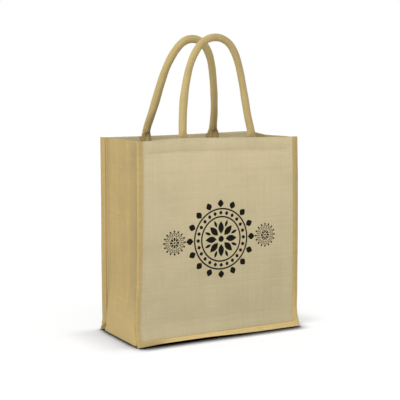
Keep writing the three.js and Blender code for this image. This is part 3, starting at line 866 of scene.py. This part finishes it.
# A value between low and high, carried over to the range from to_low to to_high
def remap(tree, value, low, high, to_low=0.0, to_high=1.0, smooth=True):
    node = tree.nodes.new("ShaderNodeMapRange")
    node.interpolation_type = "SMOOTHSTEP" if smooth else "LINEAR"
    for socket, wanted in zip(node.inputs, (value, low, high, to_low, to_high)):
        feed(tree, socket, wanted)
    return node.outputs[0]


def split(tree, vector):
    node = tree.nodes.new("ShaderNodeSeparateXYZ")
    feed(tree, node.inputs[0], vector)
    return node.outputs[0], node.outputs[1], node.outputs[2]


def combine(tree, x, y, z=0.0):
    node = tree.nodes.new("ShaderNodeCombineXYZ")
    for socket, value in zip(node.inputs, (x, y, z)):
        feed(tree, socket, value)
    return node.outputs[0]


def noise(tree, vector, scale, detail=2.0):
    node = tree.nodes.new("ShaderNodeTexNoise")
    feed(tree, node.inputs["Vector"], vector)
    feed(tree, node.inputs["Scale"], scale)
    feed(tree, node.inputs["Detail"], detail)
    return node.outputs["Fac"]


# A colour at a share of the way from the first to the second
def blend(tree, share, first, second):
    node = tree.nodes.new("ShaderNodeMix")
    node.data_type = "RGBA"
    feed(tree, node.inputs["Factor"], share)
    feed(tree, node.inputs[6], first)
    feed(tree, node.inputs[7], second)
    return node.outputs[2]


# An empty node group with named sockets, and its two end nodes
def new_group(name, inputs, outputs):
    tree = bpy.data.node_groups.new(name, "ShaderNodeTree")
    for label, kind, value in inputs:
        socket = tree.interface.new_socket(name=label, in_out="INPUT", socket_type=kind)
        if value is not None:
            socket.default_value = value
    for label, kind in outputs:
        tree.interface.new_socket(name=label, in_out="OUTPUT", socket_type=kind)
    return tree, tree.nodes.new("NodeGroupInput"), tree.nodes.new("NodeGroupOutput")


# Plain weave of uneven threads, on a cloth coordinate in metres. Each thread is a cosine across its
# width, and the warp or the weft lies on top in turn, as on a chessboard. The threads wander with a
# noise. Out come the height, the thread's tone, its thick places and the gaps between threads
def weave_group():
    tree, entry, leave = new_group(
        "plain_weave",
        [
            ("Cloth", "NodeSocketVector", None),
            ("Warp Count", "NodeSocketFloat", 500.0),
            ("Weft Count", "NodeSocketFloat", 500.0),
            ("Wander", "NodeSocketFloat", 0.4),
            ("Warp Vary", "NodeSocketFloat", 1.0),
            ("Weft Vary", "NodeSocketFloat", 1.0),
        ],
        [(label, "NodeSocketFloat") for label in ("Height", "Tone", "Slub", "Gap")],
    )
    cloth, warp, weft, wander, warp_vary, weft_vary = (entry.outputs[i] for i in range(6))
    u, v, _ = split(tree, cloth)
    drift = calc(tree, "MULTIPLY", calc(tree, "SUBTRACT", noise(tree, cloth, 60.0, 2.0), 0.5), wander)
    drift_two = noise(tree, combine(tree, v, u, 3.7), 70.0, 2.0)
    drift_two = calc(tree, "MULTIPLY", calc(tree, "SUBTRACT", drift_two, 0.5), wander)
    across = calc(tree, "ADD", calc(tree, "MULTIPLY", u, warp), calc(tree, "MULTIPLY", drift, 4.0))
    up = calc(tree, "ADD", calc(tree, "MULTIPLY", v, weft), calc(tree, "MULTIPLY", drift_two, 4.0))
    column, row = calc(tree, "FLOOR", across), calc(tree, "FLOOR", up)
    in_column = calc(tree, "SUBTRACT", calc(tree, "FRACT", across), 0.5)
    in_row = calc(tree, "SUBTRACT", calc(tree, "FRACT", up), 0.5)
    over = calc(tree, "ABSOLUTE", calc(tree, "MODULO", calc(tree, "ADD", column, row), 2.0))
    round_warp = calc(tree, "COSINE", calc(tree, "MULTIPLY", in_column, math.pi))
    round_weft = calc(tree, "COSINE", calc(tree, "MULTIPLY", in_row, math.pi))
    warp_top = calc(tree, "MULTIPLY", round_warp, calc(tree, "MULTIPLY_ADD", round_weft, 0.5, 0.5))
    weft_top = calc(tree, "MULTIPLY", round_weft, calc(tree, "MULTIPLY_ADD", round_warp, 0.5, 0.5))
    height = lerp_nodes(tree, over, weft_top, warp_top)
    warp_place = combine(tree, calc(tree, "MULTIPLY", column, 7.31), calc(tree, "MULTIPLY", v, 22.0))
    warp_slub = noise(tree, warp_place, 1.0, 1.0)
    weft_place = combine(tree, calc(tree, "MULTIPLY", u, 22.0), calc(tree, "MULTIPLY", row, 5.77), 9.0)
    weft_slub = noise(tree, weft_place, 1.0, 1.0)
    warp_tone = calc(tree, "MULTIPLY", thread_tone(tree, column, v, 1.3), warp_vary)
    weft_tone = calc(tree, "MULTIPLY", thread_tone(tree, row, u, 8.9), weft_vary)
    tone = calc(tree, "ADD", lerp_nodes(tree, over, weft_tone, warp_tone), 0.5)
    slub = lerp_nodes(tree, over, remap(tree, weft_slub, 0.6, 0.74), remap(tree, warp_slub, 0.6, 0.74))
    gap = remap(tree, height, 0.42, 0.08)
    for socket, value in zip(leave.inputs, (height, tone, slub, gap)):
        tree.links.new(value, socket)
    return tree


# The point at a share of the way from the first value to the second, as nodes
def lerp_nodes(tree, share, first, second):
    return calc(tree, "MULTIPLY_ADD", calc(tree, "SUBTRACT", second, first), share, first)


# Each thread's own shade, a random value for its number, which drifts along its length with a noise
def thread_tone(tree, thread, length, seed):
    white = tree.nodes.new("ShaderNodeTexWhiteNoise")
    white.noise_dimensions = "1D"
    feed(tree, white.inputs["W"], calc(tree, "ADD", thread, seed))
    place = combine(tree, calc(tree, "MULTIPLY", thread, 3.17), calc(tree, "MULTIPLY", length, 25.0), seed)
    along = noise(tree, place, 1.0, 2.0)
    drift = calc(tree, "MULTIPLY_ADD", along, 1.1, calc(tree, "MULTIPLY", white.outputs["Value"], 0.6))
    return calc(tree, "SUBTRACT", drift, 0.85)


WEAVE = weave_group()


# A node group placed in a tree, with the inputs that are named
def group_node(tree, group, **values):
    node = tree.nodes.new("ShaderNodeGroup")
    node.node_tree = group
    for label, value in values.items():
        feed(tree, node.inputs[label.replace("_", " ")], value)
    return node


# A round motif, as a mask round the origin: the greatest of a disc, rings and wreaths of petals, all
# from the distance and the angle
def rosette_group():
    tree, entry, leave = new_group(
        "rosette",
        [("Cloth", "NodeSocketVector", None), ("Size", "NodeSocketFloat", 0.07)],
        [("Mask", "NodeSocketFloat")],
    )
    x, y, _ = split(tree, entry.outputs[0])
    size = entry.outputs[1]
    x, y = calc(tree, "DIVIDE", x, size), calc(tree, "DIVIDE", y, size)
    square = calc(tree, "ADD", calc(tree, "MULTIPLY", x, x), calc(tree, "MULTIPLY", y, y))
    reach = calc(tree, "SQRT", square)
    angle = calc(tree, "ARCTAN2", y, x)

    # count petals from start to stop, half a sine wave wide
    def petals(count, start, stop, width, turned=0.0):
        turns = calc(tree, "MULTIPLY_ADD", angle, count / (2 * math.pi), 0.5 + turned)
        local = calc(tree, "SUBTRACT", calc(tree, "FRACT", turns), 0.5)
        sideways = calc(tree, "MULTIPLY", calc(tree, "MULTIPLY", local, 2 * math.pi / count), reach)
        share = remap(tree, reach, start, stop, smooth=False)
        half = calc(tree, "MULTIPLY", calc(tree, "SINE", calc(tree, "MULTIPLY", share, math.pi)), width)
        inside = calc(tree, "SUBTRACT", half, calc(tree, "ABSOLUTE", sideways))
        return remap(tree, inside, 0.002, 0.014)

    # A ring where the distance is within half of the radius
    def ring(radius, half):
        away = calc(tree, "ABSOLUTE", calc(tree, "SUBTRACT", reach, radius))
        return remap(tree, away, half + 0.006, half - 0.006)

    parts = [
        remap(tree, reach, 0.085, 0.07),
        petals(8, 0.12, 0.46, 0.09),
        petals(8, 0.3, 0.52, 0.045, 0.5),
        ring(0.56, 0.02),
        petals(24, 0.6, 0.72, 0.055),
        ring(0.76, 0.02),
        petals(16, 0.79, 1.0, 0.09),
    ]
    mask = parts[0]
    for part in parts[1:]:
        mask = calc(tree, "MAXIMUM", mask, part)
    tree.links.new(mask, leave.inputs[0])
    return tree


ROSETTE = rosette_group()


# A material with its tree and its shader
def new_material(name):
    material = bpy.data.materials.new(name)
    material.use_nodes = True
    tree = material.node_tree
    shader = next(node for node in tree.nodes if node.type == "BSDF_PRINCIPLED")
    return material, tree, shader


# A colour given in 0 to 255 as a screen shows it, as the linear values that a shader takes
def srgb(red, green, blue):
    channels = [value / 255 for value in (red, green, blue)]
    return (*(c / 12.92 if c <= 0.04045 else ((c + 0.055) / 1.055) ** 2.4 for c in channels), 1.0)


# The print: a large rosette between two small ones, by x and size, with its height on the panel
ROSETTES = ((0.0, 0.076), (-0.1, 0.024), (0.1, 0.024))
ROSETTE_HEIGHT = 0.19
INK = srgb(2, 2, 2)


# Where the print's ink lies on the cloth: inside the motifs, less in the gaps and where fibres stand up
def print_mask(tree, cloth, gap, fine):
    u, v, _ = split(tree, cloth)
    mask = None
    for x, size in ROSETTES:
        centred = combine(tree, calc(tree, "SUBTRACT", u, x), calc(tree, "SUBTRACT", v, ROSETTE_HEIGHT))
        found = group_node(tree, ROSETTE, Cloth=centred, Size=size).outputs[0]
        mask = found if mask is None else calc(tree, "MAXIMUM", mask, found)
    taken = calc(tree, "SUBTRACT", 1.0, calc(tree, "MULTIPLY", gap, 0.08))
    taken = calc(tree, "SUBTRACT", taken, remap(tree, fine, 0.66, 0.84, 0.0, 0.1))
    return calc(tree, "MULTIPLY", mask, taken)


# Woven cloth. look has its counts, colours and how strongly they vary. The tone blends two colours, then
# come thick places, painted shade in the gaps between threads, blotches, flecks and the print. The weave's
# height gives the bump
def cloth_material(name, look, printed=False):
    material, tree, shader = new_material(name)
    coordinates = tree.nodes.new("ShaderNodeTexCoord")
    cloth, place = coordinates.outputs["UV"], coordinates.outputs["Object"]
    weave = group_node(
        tree,
        WEAVE,
        Cloth=cloth,
        Warp_Count=look["warp"],
        Weft_Count=look["weft"],
        Wander=look["wander"],
        Warp_Vary=look["warp_vary"],
        Weft_Vary=look["weft_vary"],
    )
    height, tone, slub, gap = (weave.outputs[i] for i in range(4))
    blotches = noise(tree, place, 14.0, 3.0)  # soft stains some centimetres wide
    fine = noise(tree, cloth, 900.0, 2.0)  # loose fibres of about a millimetre
    shade = remap(tree, tone, 0.0, 1.0, smooth=False)
    colour = blend(tree, shade, look["dark"], look["light"])
    colour = blend(tree, calc(tree, "MULTIPLY", slub, look["slub"]), colour, look["pale"])
    # painted shade: the cloth darkens towards the deep colour in the gaps between threads, where the weave
    # is low
    colour = blend(tree, calc(tree, "MULTIPLY", gap, look["gap"]), colour, look["deep"])
    colour = blend(tree, remap(tree, blotches, 0.35, 0.7, 0.0, look["blotch"]), colour, look["deep"])
    flecks = remap(tree, noise(tree, combine(tree, *split(tree, cloth)[:2]), 420.0, 0.0), 0.76, 0.82)
    colour = blend(tree, calc(tree, "MULTIPLY", flecks, look["fleck"]), colour, look["shive"])
    if printed:
        colour = blend(tree, print_mask(tree, cloth, gap, fine), colour, INK)
    feed(tree, shader.inputs["Base Color"], colour)
    rough = calc(tree, "MULTIPLY_ADD", fine, 0.12, look["rough"])
    feed(tree, shader.inputs["Roughness"], rough)
    shader.inputs["Specular IOR Level"].default_value = look["shine"]
    shader.inputs["Sheen Weight"].default_value = look["sheen"]
    shader.inputs["Sheen Roughness"].default_value = 0.5
    relief = calc(tree, "MULTIPLY_ADD", slub, 0.35, height)
    relief = calc(tree, "MULTIPLY_ADD", fine, 0.3, relief)
    bump = tree.nodes.new("ShaderNodeBump")
    bump.inputs["Strength"].default_value = look["bump"]
    bump.inputs["Distance"].default_value = look["relief"]
    feed(tree, bump.inputs["Height"], relief)
    tree.links.new(bump.outputs["Normal"], shader.inputs["Normal"])
    return material


# The looks: threads to the metre, how unevenly they lie and how much their tone varies, the colours of
# dark, light and thick threads, of the painted shade in the gaps (deep, also the stains' colour) and of
# flecks, the strength of each, and the finish
CREAM = dict(
    warp=640.0,
    weft=600.0,
    wander=0.35,
    warp_vary=0.6,
    weft_vary=0.65,
    light=srgb(194, 181, 147),
    dark=srgb(175, 162, 127),
    pale=srgb(202, 189, 158),
    deep=srgb(129, 117, 88),
    shive=srgb(124, 104, 72),
    slub=0.45,
    gap=0.3,
    blotch=0.1,
    fleck=0.3,
    rough=0.78,
    shine=0.05,
    sheen=0.03,
    bump=0.55,
    relief=0.0006,
)
TAN = dict(
    warp=480.0,
    weft=440.0,
    wander=0.4,
    warp_vary=0.7,
    weft_vary=0.4,
    light=srgb(180, 157, 101),
    dark=srgb(159, 135, 80),
    pale=srgb(194, 172, 122),
    deep=srgb(117, 95, 56),
    shive=srgb(120, 92, 54),
    slub=0.4,
    gap=0.35,
    blotch=0.12,
    fleck=0.35,
    rough=0.8,
    shine=0.22,
    sheen=0.1,
    bump=0.6,
    relief=0.0008,
)
TAPE_CLOTH = dict(
    TAN,
    light=srgb(178, 156, 105),
    dark=srgb(157, 134, 84),
)
ROPE_CLOTH = dict(
    TAN,
    warp=560.0,
    weft=540.0,
    warp_vary=0.8,
    weft_vary=0.6,
    light=srgb(194, 173, 120),
    dark=srgb(172, 151, 99),
    pale=srgb(204, 185, 137),
    deep=srgb(124, 104, 64),
)


# Sewing thread: a sine over both cloth coordinates twists its plies, with painted shade in the grooves
# between them
def thread_material(name, colour):
    material, tree, shader = new_material(name)
    coordinates = tree.nodes.new("ShaderNodeTexCoord")
    x, y, _ = split(tree, coordinates.outputs["UV"])
    twist = calc(tree, "MULTIPLY_ADD", x, 9000.0, calc(tree, "MULTIPLY", y, 14000.0))
    ply = calc(tree, "MULTIPLY_ADD", calc(tree, "SINE", twist), 0.5, 0.5)
    # painted shade: the grooves between the plies are 0.7 as bright
    dark = tuple(0.7 * c for c in colour[:3]) + (1.0,)
    feed(tree, shader.inputs["Base Color"], blend(tree, ply, dark, colour))
    shader.inputs["Roughness"].default_value = 0.62
    shader.inputs["Sheen Weight"].default_value = 0.1
    bump = tree.nodes.new("ShaderNodeBump")
    bump.inputs["Strength"].default_value = 0.5
    bump.inputs["Distance"].default_value = 0.0001
    feed(tree, bump.inputs["Height"], ply)
    tree.links.new(bump.outputs["Normal"], shader.inputs["Normal"])
    return material


front_cloth = cloth_material("cream_cloth_printed", CREAM, printed=True)
cream_cloth = cloth_material("cream_cloth", CREAM)
tan_cloth = cloth_material("tan_jute_cloth", TAN)
tape_cloth = cloth_material("tape_jute", TAPE_CLOTH)
rope_cloth = cloth_material("handle_cloth", ROPE_CLOTH)
cream_thread = thread_material("cream_thread", srgb(205, 191, 157))
tan_thread = thread_material("tan_thread", srgb(214, 196, 152))


# The stitching through a bound seam, sunk a little into the tape's front and its back
def seam_stitches(panel):
    sunk = TAPE - 0.22
    surfaces = []
    for inset, depth, out in ((SEAM - 2.4, -GAP - sunk, 1.0), (SEAM - 2.9, TAPE_BACK + sunk, -1.0)):
        lines = [seam_lines(panel, [inset], [at], trimmed=True)[0] for at in (depth, depth - out)]
        surfaces.append(stitches(*lines))
    return surfaces


# The stitching of the hem on both faces, and a box with a cross at each end of the handle
def hem_stitches(panel):
    hem_line = [(-158, -HEM_LINE), (158, -HEM_LINE)]
    surfaces = [panel_stitches(panel, hem_line, THREAD_DEPTH, 1.0)]
    surfaces.append(panel_stitches(panel, hem_line, FLANGE_BACK, -1.0))
    left_pad, right_pad, centre = PADS[panel]
    apart = ARCH_ROWS[panel][0][1]
    for foot, pad in ((centre - apart, left_pad), (centre + apart, right_pad)):
        left, right = foot - pad / 2 + 2, foot + pad / 2 - 2
        cross = [(left, BOX_FOOT), (right, BOX_TOP)]
        box = [(left, BOX_FOOT), (right, BOX_FOOT), (right, BOX_TOP), (left, BOX_TOP), (left, BOX_FOOT)]
        for corners in (box, cross):
            surfaces.append(panel_stitches(panel, corners, 0.0, 1.0))
            surfaces.append(panel_stitches(panel, corners, TAPE_BACK + END_ROWS[0][2] + 0.3, -1.0))
    return surfaces


# The pieces. Each stands in for one solid, and the stitches go with their panel
for panel, material in (("front", front_cloth), ("back", cream_cloth)):
    sheet = add_piece(f"{panel}_cloth", [panel_surface(panel)], material)
    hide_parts(f"{panel}_panel")
    tape = add_piece(f"{panel}_tape", [binding_surface(panel)], tape_cloth)
    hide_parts(f"{panel}_binding")
    handle = add_piece(f"{panel}_handle_cloth", [handle_surface(panel)], rope_cloth)
    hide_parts(f"{panel}_handle")
    seam_threads = add_piece(f"{panel}_seam_stitches", seam_stitches(panel), tan_thread)
    hem_threads = add_piece(f"{panel}_hem_stitches", hem_stitches(panel), cream_thread)

gusset = add_piece("gusset_cloth", gusset_surfaces(), tan_cloth)
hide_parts("gusset_strip")


FLOOR_SIZE = 6.0
FLOOR_DROP = 0.0002
FLOOR_SHADOW_DARK = (0.002, 0.002, 0.002, 1)
FLOOR_WHITE = (0.25, 0.25, 0.25, 1)

# Painted contact shadow on the floor under the bag, found by occlusion: a direction, how far it looks, and
# the open share at each end
FLOOR_CONTACT_SHADOW = (((0, 0, 1), 0.018, 0.56, 0.92), ((0, 1, 0), 0.032, 0.59, 0.93))


# A square floor with a painted contact shadow: dark where the bag nearly touches it, by the lesser of two
# open shares
def add_floor():
    mesh = bpy.data.meshes.new("floor")
    corners = [(FLOOR_SIZE * x, FLOOR_SIZE * y, 0) for x, y in ((-1, -1), (1, -1), (1, 1), (-1, 1))]
    mesh.from_pydata(corners, [], [(0, 1, 2, 3)])
    material, tree, shader = new_material("white_floor")
    open_share = None
    for normal, distance, low, high in FLOOR_CONTACT_SHADOW:
        touch = tree.nodes.new("ShaderNodeAmbientOcclusion")
        touch.inputs["Distance"].default_value = distance
        feed(tree, touch.inputs["Normal"], combine(tree, *normal))
        touch.samples = 8
        found = remap(tree, touch.outputs["AO"], low, high, smooth=False)
        open_share = found if open_share is None else calc(tree, "MINIMUM", open_share, found)
    # painted shadow: the floor's colour goes from the dark to the white by the open share
    feed(tree, shader.inputs["Base Color"], blend(tree, open_share, FLOOR_SHADOW_DARK, FLOOR_WHITE))
    shader.inputs["Roughness"].default_value = 0.9
    shader.inputs["Specular IOR Level"].default_value = 0.0
    mesh.materials.append(material)
    floor = bpy.data.objects.new("floor", mesh)
    floor.location.z = -FLOOR_DROP
    floor.visible_diffuse = False
    bpy.context.scene.collection.objects.link(floor)
    floor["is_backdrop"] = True
    return floor


LIGHT_AIM = 0.3  # height that the lights face


# Direction from the bag to a light, as a unit vector. Azimuth 0 is in front and grows to the left
def light_way(azimuth, elevation):
    turn, rise = math.radians(azimuth), math.radians(elevation)
    return np.array([-math.sin(turn) * math.cos(rise), -math.cos(turn) * math.cos(rise), math.sin(rise)])


# A light that faces a point 0.3 m above the floor from a distance away, moved to the right, and that
# lights the receivers alone
def add_light(name, kind, azimuth, elevation, away, power, receivers, right=0.0):
    data = bpy.data.lights.new(name, kind)
    data.energy = power
    light = bpy.data.objects.new(name, data)
    bpy.context.scene.collection.objects.link(light)
    way = light_way(azimuth, elevation)
    side = unit(np.cross(-way, [0, 0, 1]))
    matrix = np.eye(4)
    matrix[:3, 0], matrix[:3, 1], matrix[:3, 2] = side, np.cross(side, -way), way
    matrix[:3, 3] = way * away + np.array([right, 0, LIGHT_AIM])
    light.matrix_world = Matrix(matrix.tolist())
    light.light_linking.receiver_collection = receivers
    return data


# A collection of the pieces that one light reaches
def collected(name, objects):
    collection = bpy.data.collections.new(name)
    for item in objects:
        collection.objects.link(item)
    return collection


floor = add_floor()
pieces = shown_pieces()
tan = [piece for piece in pieces if any(word in piece.name for word in ("gusset", "tape", "seam"))]
cream = [piece for piece in pieces if piece not in tan and "handle" not in piece.name]
others = [piece for piece in pieces if piece not in cream and "gusset" not in piece.name]
tan_only = collected("tan_only", tan)
cream_only = collected("cream_only", cream)
floor_only = collected("floor_only", [floor])
gusset_only = collected("gusset_only", [piece for piece in tan if "gusset" in piece.name])
rest_only = collected("rest_only", others)
tape_only = collected("tape_only", [piece for piece in tan if "gusset" not in piece.name])
inside_only = collected("inside_only", [piece for piece in cream if piece.name == "back_cloth"])

# Soft boxes: azimuth, elevation, distance, power, what each lights and its size
for name, azimuth, elevation, away, power, receivers, size in (
    ("softbox", 65, 35, 1.3, 14, rest_only, 1.5),
    ("softbox", 65, 10, 1.3, 7.8, cream_only, 1.5),
    ("grazing_softbox", 28, 15, 1.2, 19, gusset_only, 0.6),
    ("top_softbox", -14, 40, 0.65, 2.2, cream_only, 0.6),
    ("inside_softbox", 0, 55, 1.0, 2.2, inside_only, 0.5),
    ("side_softbox", 30, 10, 1.2, 3.5, tape_only, 0.4),
):
    add_light(name, "AREA", azimuth, elevation, away, power, receivers).size = size

# Light that the floor throws back onto the foot of the front and of the left side, from narrow strips
for name, azimuth, elevation, away, power, receivers, right, length in (
    ("floor_glow", 0, -69.3, 0.3174, 0.078, tan_only, 0.075, 0.4),
    ("side_floor_glow", 90, -53, 0.372, 0.022, gusset_only, 0.0, 0.16),
):
    glow = add_light(name, "AREA", azimuth, elevation, away, power, receivers, right)
    glow.shape = "RECTANGLE"
    glow.size = length
    glow.size_y = 0.04

# Suns for the floor's shadows: azimuth, elevation, power and width in degrees
for azimuth, elevation, power, angle in (
    (0, 50, 1.3, 90),
    (-90, 79.5, 2.5, 10),
    (74, 78, 2.3, 8),
    (180, 87, 4.6, 5),
):
    sun = add_light("floor_sun", "SUN", azimuth, elevation, 3.0, power, floor_only)
    sun.angle = math.radians(angle)

# A white horizon, dimmer light from above it and less from below
world = bpy.data.worlds.new("studio")
world.use_nodes = True
sky = world.node_tree
background = next(node for node in sky.nodes if node.type == "BACKGROUND")
background.inputs["Color"].default_value = (1, 1, 1, 1)
height = split(sky, sky.nodes.new("ShaderNodeTexCoord").outputs["Generated"])[2]
above = remap(sky, height, 0.12, 0.3, 0.0, 0.15)
below = remap(sky, height, -0.3, -0.12, 0.15, 0.0)
strength = calc(sky, "SUBTRACT", calc(sky, "SUBTRACT", 1.0, above), below)
feed(sky, background.inputs["Strength"], strength)
bpy.context.scene.world = world
